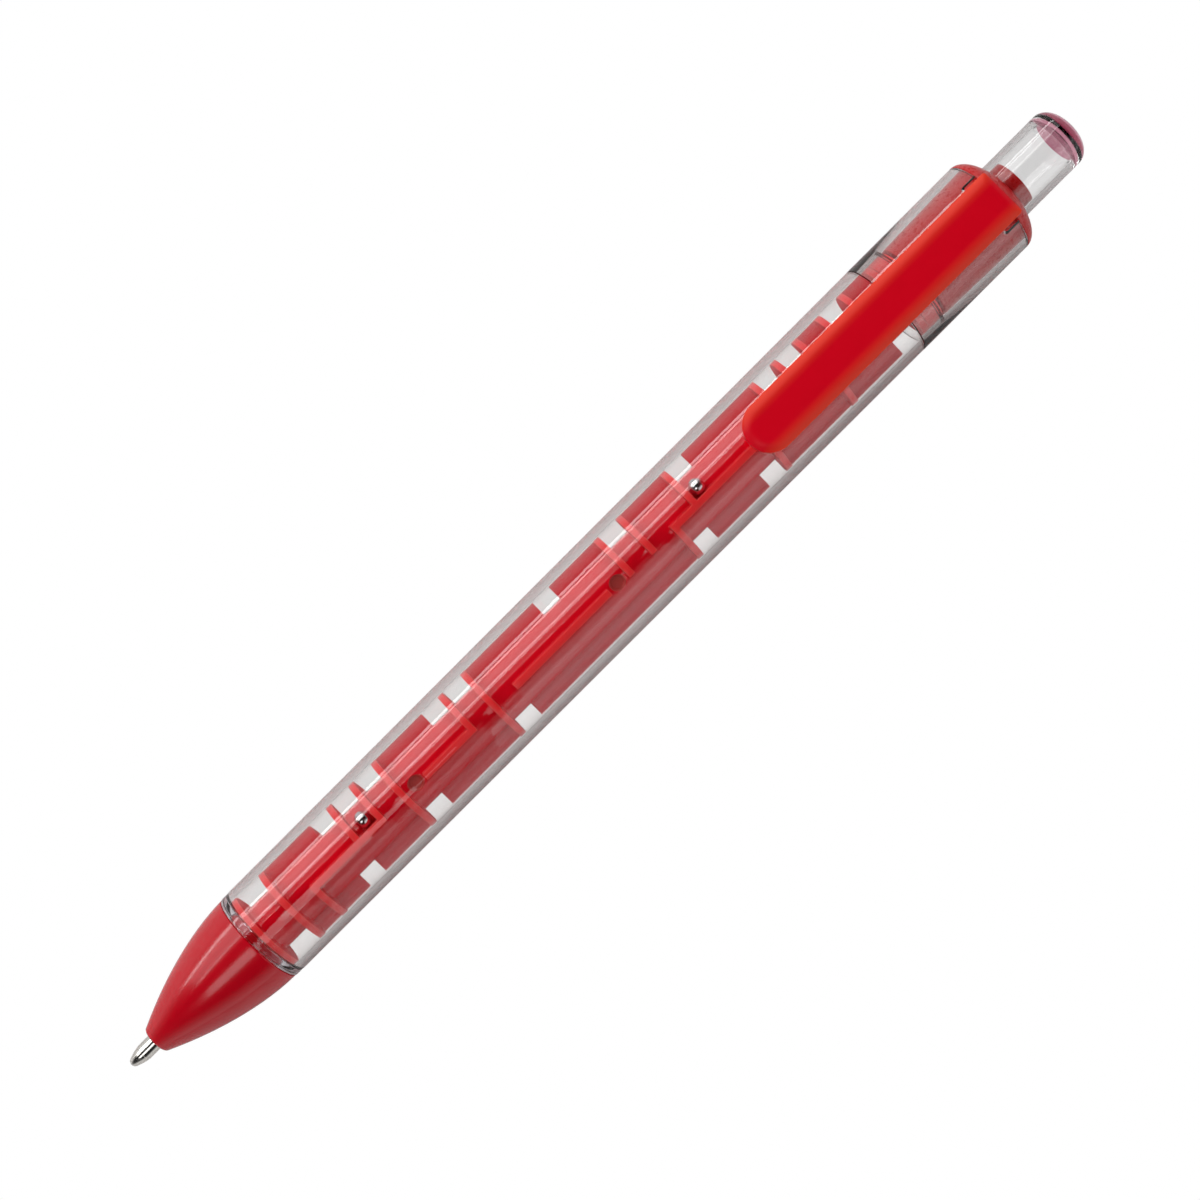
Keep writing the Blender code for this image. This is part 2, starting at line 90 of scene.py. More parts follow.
# Mesh helpers ---------------------------------------------------------------------------------
def around(x, radius, degrees):
    """The point at that radius and angle about the pen's axis, in metres."""
    angle = math.radians(degrees)
    return Vector((x * MM, radius * math.sin(angle) * MM, (AXIS_Z + radius * math.cos(angle)) * MM))


def smooth(piece, crease=32):
    """Shades the piece smoothly, with sharp edges where it turns by more than crease degrees."""
    piece.data.shade_smooth()
    piece.data.set_sharp_from_angle(angle=math.radians(crease))


def add_piece(name, maker, finishes, body, nodes=(), crease=32):
    """Makes an object of the mesh, which rides on body and stands for those CAD nodes."""
    mesh = bpy.data.meshes.new(name)
    bmesh.ops.recalc_face_normals(maker, faces=maker.faces)
    maker.to_mesh(mesh)
    maker.free()
    piece = bpy.data.objects.new(name, mesh)
    smooth(piece, crease)
    bpy.context.scene.collection.objects.link(piece)
    for finish in finishes:
        mesh.materials.append(finish)
    if body:
        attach(piece, body)
    if nodes:
        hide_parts(*nodes)
    return piece


def rounded(profile, radius, steps=4):
    """The profile with each corner (x, r, share) cut to an arc: share scales the radius, and a
    point with no share, or on the axis, stays sharp."""
    result = []
    count = len(profile)
    for i, point in enumerate(profile):
        share = point[2] if len(point) > 2 else 0
        here = Vector(point[:2])
        if not share:
            result.append(here[:])
            continue
        before = Vector(profile[i - 1][:2]) - here
        after = Vector(profile[(i + 1) % count][:2]) - here
        turn = before.angle(after)
        reach = min(radius * share / math.tan(turn / 2), 0.45 * before.length, 0.45 * after.length)
        start, end = here + before.normalized() * reach, here + after.normalized() * reach
        for k in range(steps + 1):
            t = k / steps
            result.append((start * (1 - t) ** 2 + here * 2 * t * (1 - t) + end * t * t)[:])
    return result


def lathe_mesh(profile, segments=ROUND):
    """A closed profile of (x, radius) points turned about the pen's axis."""
    maker = bmesh.new()
    step = 360 / segments
    poles = {i: maker.verts.new(around(x, 0, 0)) for i, (x, r) in enumerate(profile) if r < 1e-6}
    columns = []
    for k in range(segments):
        column = []
        for i, (x, r) in enumerate(profile):
            column.append(poles[i] if i in poles else maker.verts.new(around(x, r, k * step)))
        columns.append(column)
    for k, near in enumerate(columns):
        far = columns[(k + 1) % segments]
        for i in range(len(near)):
            j = (i + 1) % len(near)
            corners = list(dict.fromkeys((near[i], far[i], far[j], near[j])))
            if len(corners) > 2:
                maker.faces.new(corners)
    return maker


def lathe(name, profile, finishes, body, nodes=(), corner=0.08, segments=ROUND, crease=32):
    maker = lathe_mesh(rounded(profile, corner), segments)
    return add_piece(name, maker, finishes, body, nodes, crease)


def box_mesh(low, high):
    """A box between two corners, with its heights measured from the pen's axis."""
    maker = bmesh.new()
    bmesh.ops.create_cube(maker, size=1.0)
    for vert in maker.verts:
        for axis in range(3):
            share = vert.co[axis] + 0.5
            value = low[axis] + share * (high[axis] - low[axis])
            vert.co[axis] = (value + (AXIS_Z if axis == 2 else 0)) * MM
    return maker


def apply_modifiers(piece):
    """Bakes the modifiers into the mesh, so that nothing but the shape is left."""
    graph = bpy.context.evaluated_depsgraph_get()
    graph.update()
    made = bpy.data.meshes.new_from_object(piece.evaluated_get(graph), depsgraph=graph)
    piece.modifiers.clear()
    piece.data = made


def combine(piece, operation, maker, name):
    """Joins or cuts piece with a helper mesh, which is then removed. The faces that the helper
    leaves behind take the piece's finishes, by their place in its list."""
    helper = add_piece(name, maker, piece.data.materials, None)
    modifier = piece.modifiers.new("Combine", "BOOLEAN")
    modifier.operation = operation
    modifier.object = helper
    apply_modifiers(piece)
    bpy.data.objects.remove(helper)


# Materials ------------------------------------------------------------------------------------
class Nodes:
    """A material's node tree, with short calls to add and link nodes."""

    def __init__(self, name):
        self.material = bpy.data.materials.new(name)
        self.material.use_nodes = True
        self.tree = self.material.node_tree
        self.shader = self.tree.nodes["Principled BSDF"]
        self.output = self.tree.nodes["Material Output"]

    def add(self, kind, inputs=(), **settings):
        node = self.tree.nodes.new(kind)
        for key, value in settings.items():
            setattr(node, key, value)
        for key, value in dict(inputs).items():
            if isinstance(value, bpy.types.NodeSocket):
                self.tree.links.new(value, node.inputs[key])
            else:
                node.inputs[key].default_value = value
        return node

    def link(self, source, target):
        self.tree.links.new(source, target)

    def set(self, **values):
        for key, value in values.items():
            self.shader.inputs[key.replace("_", " ")].default_value = value

    def place(self, scale=(1, 1, 1)):
        """Object coordinates, in millimetres times scale."""
        where = self.add("ShaderNodeTexCoord").outputs["Object"]
        factors = [value / MM for value in scale]
        return self.add("ShaderNodeMapping", {"Vector": where, "Scale": factors}).outputs["Vector"]

    def noise(self, scale=1.0, detail=3.0, stretch=(1, 1, 1), roughness=0.5):
        inputs = {"Vector": self.place(stretch), "Scale": scale, "Detail": detail, "Roughness": roughness}
        return self.add("ShaderNodeTexNoise", inputs).outputs["Fac"]

    def ranged(self, source, low, high, start=0.0, end=1.0):
        """The source's values from start to end, spread from low to high."""
        inputs = {"Value": source, "From Min": start, "From Max": end, "To Min": low, "To Max": high}
        return self.add("ShaderNodeMapRange", inputs).outputs["Result"]

    def mixed(self, share, first, second):
        """A colour from first to second, by share. Either may be a socket or (red, green, blue)."""
        inputs = {"Factor": share}
        for key, value in (("A", first), ("B", second)):
            inputs[key] = value if isinstance(value, bpy.types.NodeSocket) else (*value, 1.0)
        return self.add("ShaderNodeMix", inputs, data_type="RGBA").outputs["Result"]

    def coloured(self, share, first, second):
        """Gives the shader a base colour from first to second, by share."""
        self.link(self.mixed(share, first, second), self.shader.inputs["Base Color"])

    def rough(self, source, low, high):
        """Gives the shader a roughness from low to high, by source."""
        self.link(self.ranged(source, low, high), self.shader.inputs["Roughness"])

    def bump(self, height, distance, strength):
        """Bumps of that depth, in millimetres."""
        inputs = {"Height": height, "Distance": distance * MM, "Strength": strength}
        self.link(self.add("ShaderNodeBump", inputs).outputs["Normal"], self.shader.inputs["Normal"])

    def radius(self):
        """The distance from the pen's axis, in millimetres."""
        where = self.add("ShaderNodeTexCoord").outputs["Object"]
        parts = self.add("ShaderNodeSeparateXYZ", {"Vector": where})
        up = self.add("ShaderNodeMath", {0: parts.outputs["Z"], 1: AXIS_Z * MM}, operation="SUBTRACT")
        flat = self.add("ShaderNodeCombineXYZ", {"X": parts.outputs["Y"], "Y": up.outputs[0]})
        length = self.add("ShaderNodeVectorMath", {0: flat.outputs[0]}, operation="LENGTH")
        scaled = self.add("ShaderNodeMath", {0: length.outputs["Value"], 1: 1 / MM}, operation="MULTIPLY")
        return scaled.outputs[0]


def moulded_red(name, deep, bright, roughness, coat=0.0):
    """Injection-moulded plastic: a faint drift in its colour, uneven gloss and a hint of flow."""
    made = Nodes(name)
    made.set(IOR=PLASTIC_IOR, Coat_Weight=coat, Coat_Roughness=0.04)
    made.coloured(made.noise(0.35, 4.0), deep, bright)
    made.rough(made.noise(2.2, 5.0, roughness=0.6), roughness * 0.75, roughness * 1.35)
    made.bump(made.noise(1.1, 3.0, (0.4, 1, 1)), 0.004, 0.5)
    return made.material


def clip_red():
    """The clip's plastic: deep red along its middle, painted a lighter orange towards its sides as a painted
    highlight.
    """
    middle_half, highlight_half = 1.3 * MM, 2.9 * MM
    made = Nodes("red_clip")
    made.set(IOR=PLASTIC_IOR, Specular_IOR_Level=0.15)
    where = made.add("ShaderNodeTexCoord").outputs["Object"]
    parts = made.add("ShaderNodeSeparateXYZ", {"Vector": where})
    from_middle = made.add("ShaderNodeMath", {0: parts.outputs["Y"]}, operation="ABSOLUTE")
    side = made.ranged(from_middle.outputs[0], 0.0, 1.0, middle_half, highlight_half)
    middle = made.mixed(made.noise(0.35, 4.0), (0.7, 0.0002, 0.011), (0.75, 0.0004, 0.013))
    # Painted highlight: a lighter orange on the plate's sloping borders, towards its sides.
    made.coloured(side, middle, (0.86, 0.05, 0.02))
    made.rough(made.noise(2.2, 5.0), 0.28, 0.4)
    made.bump(made.noise(1.1, 3.0, (0.4, 1, 1)), 0.003, 0.5)
    return made.material


def core_red():
    """The maze's plastic: polished in the channels and duller on the walls' tops, which are painted a
    lighter, warmer red as painted light.
    """
    made = Nodes("maze_core_red")
    made.set(IOR=PLASTIC_IOR)
    # top marks the walls' tops: they are painted lighter and warmer than the floors as painted light, and
    # made rougher.
    top = made.ranged(made.radius(), 0.0, 1.0, CORE_R + 0.1, WALL_R - 0.04)
    floor = made.mixed(made.noise(0.5, 4.0), (0.74, 0.001, 0.012), (0.82, 0.0016, 0.016))
    made.coloured(top, floor, (0.95, 0.02, 0.024))
    made.rough(top, 0.07, 0.34)
    made.bump(made.noise(2.0, 4.0, (0.25, 1, 1)), 0.0015, 0.6)
    return made.material


def core_side():
    """The walls' upright sides, left dull by the mould."""
    made = Nodes("maze_core_side")
    made.set(IOR=PLASTIC_IOR, Specular_IOR_Level=0.2)
    made.coloured(made.noise(0.8, 4.0), (0.7, 0.0016, 0.013), (0.78, 0.0022, 0.016))
    made.rough(made.noise(2.0, 4.0), 0.48, 0.62)
    return made.material


def core_edge():
    """The walls' rounded edges, painted paler towards the walls' tops as a painted highlight."""
    made = Nodes("maze_core_edge")
    highlight_from_r, highlight_to_r = 4.3, 4.7
    made.set(IOR=PLASTIC_IOR)
    # Painted highlight: the edges turn pale pink towards the walls' tops.
    outer = made.ranged(made.radius(), 0.0, 1.0, highlight_from_r, highlight_to_r)
    made.coloured(outer, (0.75, 0.03, 0.035), (0.95, 0.16, 0.12))
    made.rough(made.noise(1.6, 4.0), 0.2, 0.35)
    return made.material


def goal_red():
    """The goal holes' dull pinkish-brown bottoms."""
    made = Nodes("goal_red")
    made.set(IOR=PLASTIC_IOR)
    made.coloured(made.noise(1.4, 4.0), (0.5, 0.045, 0.04), (0.58, 0.06, 0.05))
    made.rough(made.noise(2.0, 4.0), 0.4, 0.6)
    return made.material


def clear_plastic(name, tint, shade, flow=0.0015):
    """Clear moulded plastic with long flow lines, flow millimetres deep. Light for the pieces
    inside passes straight through it, coloured by shade."""
    made = Nodes(name)
    made.set(Transmission_Weight=1.0, IOR=PLASTIC_IOR)
    made.coloured(made.noise(0.6, 2.0), tint, [value * 0.985 for value in tint])
    made.rough(made.noise(3.0, 4.0), 0.0, 0.02)
    made.bump(made.noise(1.0, 3.0, (0.008, 1.2, 1.2)), flow, 1.0)
    path = made.add("ShaderNodeLightPath")
    either = made.add(
        "ShaderNodeMath",
        {0: path.outputs["Is Shadow Ray"], 1: path.outputs["Is Diffuse Ray"]},
        operation="MAXIMUM",
    )
    through = made.add("ShaderNodeBsdfTransparent", {"Color": (*shade, 1.0)})
    mix = made.add("ShaderNodeMixShader", {0: either.outputs[0]})
    made.link(made.shader.outputs[0], mix.inputs[1])
    made.link(through.outputs[0], mix.inputs[2])
    made.link(mix.outputs[0], made.output.inputs["Surface"])
    return made.material


def metal(name, colour, roughness, rings=0.0):
    """Turned or polished metal. rings is the depth of its turning marks, in millimetres."""
    made = Nodes(name)
    made.set(Metallic=1.0)
    made.coloured(made.noise(1.5, 4.0), [value * 0.86 for value in colour], colour)
    made.rough(made.noise(5.0, 5.0), roughness, roughness + 0.06)
    if rings:
        made.bump(made.noise(1.0, 2.0, (14, 0.3, 0.3)), rings, 0.7)
    return made.material


def plain_plastic(name, light, dark, roughness):
    """The opaque plastic of the pieces inside."""
    made = Nodes(name)
    made.set(IOR=1.47)
    made.coloured(made.noise(0.8, 4.0), light, dark)
    made.rough(made.noise(3.0, 4.0), roughness, roughness + 0.12)
    made.bump(made.noise(2.5, 4.0), 0.004, 0.5)
    return made.material


red_gloss = moulded_red("red_gloss", (0.54, 0.0006, 0.009), (0.6, 0.001, 0.012), 0.18, coat=0.2)
red_cap = moulded_red("red_cap", (0.52, 0.005, 0.007), (0.58, 0.008, 0.01), 0.27)
red_clip = clip_red()
red_core = core_red()
red_edge = core_edge()
goal_floor = goal_red()
red_side = core_side()
clear_barrel = clear_plastic("clear_barrel", (0.885, 0.876, 0.872), (0.98, 0.975, 0.975))
clear_ring = clear_plastic("clear_ring", (0.88, 0.85, 0.9), (0.92, 0.9, 0.94))
clear_button = clear_plastic("clear_button", (0.86, 0.855, 0.855), (0.92, 0.92, 0.92), flow=0.001)
# Painted reflection: the button's clear solid end is tinted dark wine red for the red plunger seen through
# it.
reflected_red_end = clear_plastic("reflected_red_end", (0.3, 0.05, 0.09), (0.6, 0.3, 0.35), flow=0.001)
nickel = metal("nickel_silver", (0.86, 0.83, 0.78), 0.12, rings=0.004)
steel = metal("polished_steel", (0.78, 0.76, 0.78), 0.05)
spring_steel = metal("spring_steel", (0.62, 0.62, 0.65), 0.22)
white_plastic = plain_plastic("white_plastic", (0.82, 0.81, 0.77), (0.76, 0.75, 0.71), 0.35)
tube_plastic = plain_plastic("tube_plastic", (0.78, 0.78, 0.76), (0.7, 0.7, 0.69), 0.25)
ink_blue = plain_plastic("ink_blue", (0.01, 0.018, 0.11), (0.008, 0.014, 0.09), 0.3)


# Nose and spacer ring -------------------------------------------------------------------------
def build_nose():
    front, rear = span("nose_cone")
    first = front + 0.15
    front_r, rear_r = 1.72, 5.78
    fullness, steps = 1.78, 48
    tip_hole_r, spring_room_r, lead_in_r = 1.12, 2.1, 2.6
    socket_end, shoulder = -58.0, -65.5
    outer = []
    for i in range(steps + 1):
        t = i / steps
        radius = front_r + (rear_r - front_r) * (1 - (1 - t) ** fullness)
        share = 1 if i == 0 else (0.8 if i == steps else 0)
        outer.append((first + t * (rear - first), radius, share))
    profile = [
        (front, tip_hole_r, 0.5),
        (front, 1.52, 0.6),
        *outer,
        (rear, SOCKET_R, 0.5),
        (socket_end, SOCKET_R),
        (socket_end, lead_in_r),
        (socket_end - 0.5, spring_room_r),
        (shoulder, spring_room_r),
        (shoulder, tip_hole_r),
    ]
    lathe("nose", profile, [red_gloss], "nose", ["nose_cone"], crease=40)


def build_ring():
    front, rear = span("spacer_ring")
    outer = 5.83
    profile = [(front, SOCKET_R, 1), (front, outer, 1.6), (rear, outer, 1.6), (rear, SOCKET_R, 1)]
    lathe("ring", profile, [clear_ring], "nose_ring", ["spacer_ring"], corner=0.09)


# Clear barrel ---------------------------------------------------------------------------------
def build_barrels():
    front, neck_end = span("front_barrel")
    start, end = span("rear_barrel")
    joint = start - 0.1
    neck_r = 5.45
    profile = [
        (front, 4.86, 1),
        (front, 5.86, 1),
        (joint, 5.98, 0.5),
        (joint, neck_r, 0.5),
        (neck_end, neck_r, 1),
        (neck_end, 4.9, 1),
    ]
    lathe("barrel_front", profile, [clear_barrel], "barrel", ["front_barrel"])
    neck_hole_r, neck_hole_end, bore_r = 5.52, neck_end + 0.25, 5.05
    profile = [
        (start, neck_hole_r, 0.5),
        (start, REAR_R, 0.5),
        (end, REAR_R, 0.6),
        (end, bore_r, 0.6),
        (neck_hole_end, bore_r, 0.5),
        (neck_hole_end, neck_hole_r, 0.5),
    ]
    barrel = lathe("barrel_rear", profile, [clear_barrel], "barrel", ["rear_barrel"])
    # The notch that lets the clip's root through, with its two inner corners rounded.
    notch_x, half = 58.4, 3.27
    notch = box_mesh((notch_x, -half, 2.0), (end + 1.0, half, 7.5))
    upright = [e for e in notch.edges if abs(e.verts[0].co.z - e.verts[1].co.z) > 2 * MM]
    inner = [e for e in upright if min(v.co.x for v in e.verts) < (notch_x + 0.1) * MM]
    bmesh.ops.bevel(notch, geom=inner, offset=0.45 * MM, segments=6, profile=0.5, affect="EDGES")
    combine(barrel, "DIFFERENCE", notch, "cut_notch")
    smooth(barrel)


# Cap, clip and button -------------------------------------------------------------------------
def build_cap():
    base, inner_shoulder = 60.45, 62.2
    dome_height, hole_r = 2.65, 3.7
    skirt_r, bore_r = 4.98, 4.05
    skirt_front = span("cap")[0]
    dome, steps = [], 24
    last = math.acos(hole_r / REAR_R)
    for i in range(steps + 1):
        angle = last * i / steps
        share = 1.2 if i == steps else (0.5 if i == 0 else 0)
        dome.append((base + dome_height * math.sin(angle), REAR_R * math.cos(angle), share))
    profile = [
        (skirt_front, bore_r, 0.5),
        (skirt_front, skirt_r, 1.5),
        (base, skirt_r),
        *dome,
        (inner_shoulder, hole_r),
        (inner_shoulder, bore_r),
    ]
    cap = lathe("cap_shell", profile, [red_cap], "barrel", ["cap"])
    # The pocket that holds the clip's root.
    half, floor = 3.1, 4.55
    combine(cap, "DIFFERENCE", box_mesh((58.45, -half, floor), (60.42, half, 7.5)), "cut_pocket")
    smooth(cap)


def clip_loop(maker, x_tip, x_root, half, inset, z):
    """One closed loop of the clip's outline, drawn in by inset, at height z above the axis. It
    runs round the root's corner, across the root, round its other corner, along one side, round
    the tip and back along the other side."""
    tip_steps, side_steps, root_steps, corner_steps = 28, 18, 9, 4
    reach = half - inset
    centre = x_tip + half
    points = []
    corner = min(0.35, reach * 0.3)
    for k in range(corner_steps + 1):
        angle = math.pi / 2 * (1 - k / corner_steps)
        x = x_root - inset - corner + corner * math.cos(angle)
        points.append((x, reach - corner + corner * math.sin(angle)))
    for k in range(1, root_steps):
        share = k / root_steps
        points.append((x_root - inset, (reach - corner) * (1 - 2 * share)))
    for k in range(corner_steps + 1):
        angle = -math.pi / 2 * k / corner_steps
        x = x_root - inset - corner + corner * math.cos(angle)
        points.append((x, -(reach - corner) + corner * math.sin(angle)))
    for k in range(1, side_steps):
        x = x_root - inset - corner + (centre - (x_root - inset - corner)) * k / side_steps
        points.append((x, -reach))
    for k in range(tip_steps + 1):
        angle = -math.pi / 2 - math.pi * k / tip_steps
        points.append((centre + reach * math.cos(angle), reach * math.sin(angle)))
    for k in range(1, side_steps):
        x = centre + (x_root - inset - corner - centre) * k / side_steps
        points.append((x, reach))
    return [maker.verts.new((x * MM, y * MM, (AXIS_Z + z) * MM)) for x, y in points]


def build_clip():
    low, high = node_box("clip")
    tip, root, half = low[0], high[0], high[1]
    top = high[2] - AXIS_Z
    # The plate's top rises by crown and draws in by slope, from its edges to its flat middle.
    underside, crown, slope = 6.95, 0.42, 1.15
    maker = bmesh.new()
    loops = [
        clip_loop(maker, tip, root, half, 0.12, underside),
        clip_loop(maker, tip, root, half, 0.03, underside + 0.05),
        clip_loop(maker, tip, root, half, 0.0, underside + 0.14),
        clip_loop(maker, tip, root, half, 0.0, top - crown - 0.08),
        clip_loop(maker, tip, root, half, 0.02, top - crown - 0.02),
    ]
    steps = 12
    for k in range(steps + 1):
        t = k / steps
        height = top - crown * (1 - t) ** 2.1
        loops.append(clip_loop(maker, tip, root, half, 0.07 + slope * t, height))
    for near, far in zip(loops, loops[1:]):
        count = len(near)
        for i in range(count):
            j = (i + 1) % count
            maker.faces.new((near[i], near[j], far[j], far[i]))
    maker.faces.new(loops[0])
    maker.faces.new(loops[-1])
    clip = add_piece("clip_plate", maker, [red_clip], "clip", ["clip"])
    tongue_half, tongue_foot = 2.9, 4.65
    tongue = box_mesh((58.57, -tongue_half, tongue_foot), (60.25, tongue_half, underside + 0.4))
    combine(clip, "UNION", tongue, "join_tongue")
    # The bump that grips a pocket's cloth: a short round bar across the clip's underside.
    bump = bmesh.new()
    radius, length, bump_x, bump_foot = 0.85, 4, 25.8, 6.12
    bmesh.ops.create_cone(
        bump, cap_ends=True, segments=48, radius1=radius * MM, radius2=radius * MM, depth=length * MM
    )
    for vert in bump.verts:
        x, y, z = vert.co
        vert.co = (x + bump_x * MM, z, y + (AXIS_Z + bump_foot + radius) * MM)
    combine(clip, "UNION", bump, "join_bump")
    smooth(clip, 30)


def build_button():
    foot, end = span("push_button")
    radius, bore, bore_end = 3.57, 2.8, 71.0
    edge, edge_r = 1.8, 2.4
    collar_r, collar_length = 3.95, 0.8
    outer, steps = [], 20
    for i in range(steps + 1):
        angle = math.pi / 2 * i / steps
        outer.append((end - edge + edge * math.sin(angle), radius - edge_r + edge_r * math.cos(angle)))
    # The end's gate mark: a fine ring round a small nub in a shallow dish.
    mark = [(end, 1.1), (end - 0.14, 0.98), (end - 0.16, 0.62), (end - 0.04, 0.5), (end - 0.02, 0)]
    profile = [
        (foot, bore),
        (foot, collar_r, 1),
        (foot + collar_length, collar_r, 1),
        (foot + collar_length, radius),
        *outer,
        *mark,
        (bore_end, 0),
        (bore_end - 0.04, bore - 1.2),
        (bore_end - 0.3, bore - 0.45),
        (bore_end - 0.9, bore),
    ]
    finishes = [clear_button, reflected_red_end]
    shell = lathe("button_shell", profile, finishes, "button", ["push_button"])
    # The solid end past the bore, outside the gate mark, takes the dark wine tint as a painted reflection of
    # the plunger.
    reflection_start, mark_r = bore_end + 0.15, 1.35
    for face in shell.data.polygons:
        from_axis = math.hypot(face.center.y, face.center.z - AXIS_Z * MM)
        if face.center.x > reflection_start * MM and from_axis > mark_r * MM:
            face.material_index = finishes.index(reflected_red_end)


def build_plunger():
    front, rear = span("plunger")
    start, hollow_end, dish = front + 0.8, front + 8.0, rear - 0.3
    radius, hollow_r = 2.72, 1.5
    body = [
        (start, hollow_r),
        (start, radius),
        (rear, radius, 3),
        (rear, 2.05),
        (dish, 1.9),
        (dish, 0),
        (hollow_end, 0),
        (hollow_end, hollow_r),
    ]
    lathe("plunger_body", body, [red_cap], "button", ["plunger"])


# The maze -------------------------------------------------------------------------------------
# Four lines run along the core, a quarter turn apart, and quadrant q is the one after line q.
# The first line is turned by LINE_TILT from straight up.
LINE_TILT = -6.1
CORE_BORE_R = 2.1
# Also the radius of the stub that holds the core's front end.
BUSHING_BORE_R = 3.7
# Cross walls: the middle's x and the quadrants that each wall fills.
CROSS_WALLS = {
    "a": (-47.41, (0, 3)),
    "b": (-43.98, (2, 3)),
    "v": (-40.455, (1,)),
    "c": (-37.05, (0,)),
    "d": (-33.63, (0, 1)),
    "e": (-30.2, (0, 3)),
    "t": (-24.0, (1,)),
    "f": (-19.9, (0, 1, 2)),
    "g": (-16.46, (0, 2, 3)),
    "u": (-9.0, (1,)),
    "x": (-5.2, (2,)),
    "h": (4.04, (0,)),
    "i": (7.44, (0, 2)),
    "l": (10.87, (1, 3)),
    "j": (14.23, (0,)),
    "y": (18.0, (2,)),
    "p": (24.5, (3,)),
    "k": (27.83, (0, 1)),
    "m": (31.25, (0, 1)),
    "n": (34.54, (0, 3)),
    "o": (38.02, (0, 2)),
    "s": (41.47, (0, 1)),
}
# Long walls on each line, from one end to the other. An end is a cross wall's letter, the rear
# flange or an x.
LONG_WALLS = (
    (("b", "d"), (-27.1, "f"), (-13.4, 1.0), ("l", "p"), ("m", "n")),
    (
        ("a", "v"),
        ("e", -22.81),
        ("g", -5.7),
        (-3.23, "h"),
        ("i", "j"),
        (17.15, "k"),
        ("n", "o"),
        ("s", "rear"),
    ),
    (
        ("b", "v"),
        (-37.4, "d"),
        (-27.0, "f"),
        (-12.5, "x"),
        (2.0, "i"),
        ("l", "y"),
        (21.3, "k"),
        ("m", "o"),
    ),
    (
        ("a", -40.0),
        (-37.65, "e"),
        (-27.3, "g"),
        (-13.55, "l"),
        (13.7, 21.68),
        ("p", 42.15),
    ),
)
FRONT_FLANGE = (-51.86, -51.2)
REAR_FLANGE = (45.2, 46.0)
# Goal holes: x and angle.
GOAL_HOLES = ((-28.36, -4.5), (2.35, LINE_TILT))
# Mesh columns between one line's wall and the next.
GAP_COLUMNS = 26
# Places of the core's finishes in its list.
EDGE_FINISH, WELL_FINISH, SIDE_FINISH = 1, 2, 3


def wall_end(end, outward):
    """The x of a long wall's end. At a cross wall it runs to that wall's far face."""
    if end == "rear":
        return REAR_FLANGE[0]
    if isinstance(end, str):
        return CROSS_WALLS[end][0] + outward * WALL / 2
    return end


def long_wall_spans():
    """The line, first x and last x of every long wall."""
    spans = []
    for line, walls in enumerate(LONG_WALLS):
        for first, last in walls:
            spans.append((line, wall_end(first, -1), wall_end(last, 1)))
    return spans


def column_edges(radius):
    """The angles that part the core's columns at that radius: a wall, then its gap, four times."""
    half = math.degrees(math.asin(WALL / 2 / radius))
    edges = []
    for line in range(4):
        centre = LINE_TILT + 90 * line
        edges.append(centre - half)
        for n in range(GAP_COLUMNS):
            edges.append(centre + half + (90 - 2 * half) * n / GAP_COLUMNS)
    return edges


def core_stations():
    """Every x at which a wall or a flange starts or ends."""
    places = [*FRONT_FLANGE, *REAR_FLANGE]
    for x, _ in CROSS_WALLS.values():
        places += [x - WALL / 2, x + WALL / 2]
    for _, first, last in long_wall_spans():
        places += [first, last]
    return sorted({round(x, 4) for x in places})


def raised_cells(stations):
    """The (station, column) cells of the core that a wall or a flange fills."""
    per_quadrant = GAP_COLUMNS + 1
    every = 4 * per_quadrant
    spans = [(FRONT_FLANGE, range(every)), (REAR_FLANGE, range(every))]
    for x, quadrants in CROSS_WALLS.values():
        for q in quadrants:
            columns = range(q * per_quadrant, (q + 1) * per_quadrant + 1)
            spans.append(((x - WALL / 2, x + WALL / 2), columns))
    for line, first, last in long_wall_spans():
        spans.append(((first, last), (line * per_quadrant,)))
    raised = set()
    for (first, last), columns in spans:
        for i in range(len(stations) - 1):
            if first < (stations[i] + stations[i + 1]) / 2 < last:
                raised.update((i, c % every) for c in columns)
    return raised


def core_mesh():
    """The core as one closed skin: raised and sunk cells outside, and a plain bore inside."""
    maker = bmesh.new()
    stations = core_stations()
    edges = {CORE_R: column_edges(CORE_R), WALL_R: column_edges(WALL_R)}
    raised = raised_cells(stations)
    count = 4 * (GAP_COLUMNS + 1)
    made = {}

    def corner(i, c, radius):
        key = (i, c % count, radius)
        if key not in made:
            made[key] = maker.verts.new(around(stations[i], radius, edges[radius][c % count]))
        return made[key]

    def height(i, c):
        return WALL_R if (i, c % count) in raised else CORE_R

    def upright(near, far, r, other):
        """A wall's side, between the radii r and other at two (station, column) corners."""
        face = maker.faces.new((corner(*near, r), corner(*far, r), corner(*far, other), corner(*near, other)))
        face.material_index = SIDE_FINISH

    for i in range(len(stations) - 1):
        for c in range(count):
            r = height(i, c)
            near = (corner(i, c, r), corner(i + 1, c, r))
            maker.faces.new((*near, corner(i + 1, c + 1, r), corner(i, c + 1, r)))
            other = height(i, c + 1)
            if other != r:
                upright((i, c + 1), (i + 1, c + 1), r, other)
            if i + 2 < len(stations) and height(i + 1, c) != r:
                upright((i + 1, c), (i + 1, c + 1), r, height(i + 1, c))
    stub_front = -57.6
    plain = [
        (FRONT_FLANGE[0], BUSHING_BORE_R),
        (stub_front, BUSHING_BORE_R),
        (stub_front, CORE_BORE_R),
        (REAR_FLANGE[0], CORE_BORE_R),
        (REAR_FLANGE[0], BUSHING_BORE_R),
        (REAR_FLANGE[1], BUSHING_BORE_R),
    ]
    loops = [[corner(0, c, WALL_R) for c in range(count)]]
    for x, radius in plain:
        loops.append([maker.verts.new(around(x, radius, edges[WALL_R][c])) for c in range(count)])
    loops.append([corner(len(stations) - 1, c, WALL_R) for c in range(count)])
    for near, far in zip(loops, loops[1:]):
        for c in range(count):
            d = (c + 1) % count
            maker.faces.new((near[c], near[d], far[d], far[c]))
    return maker


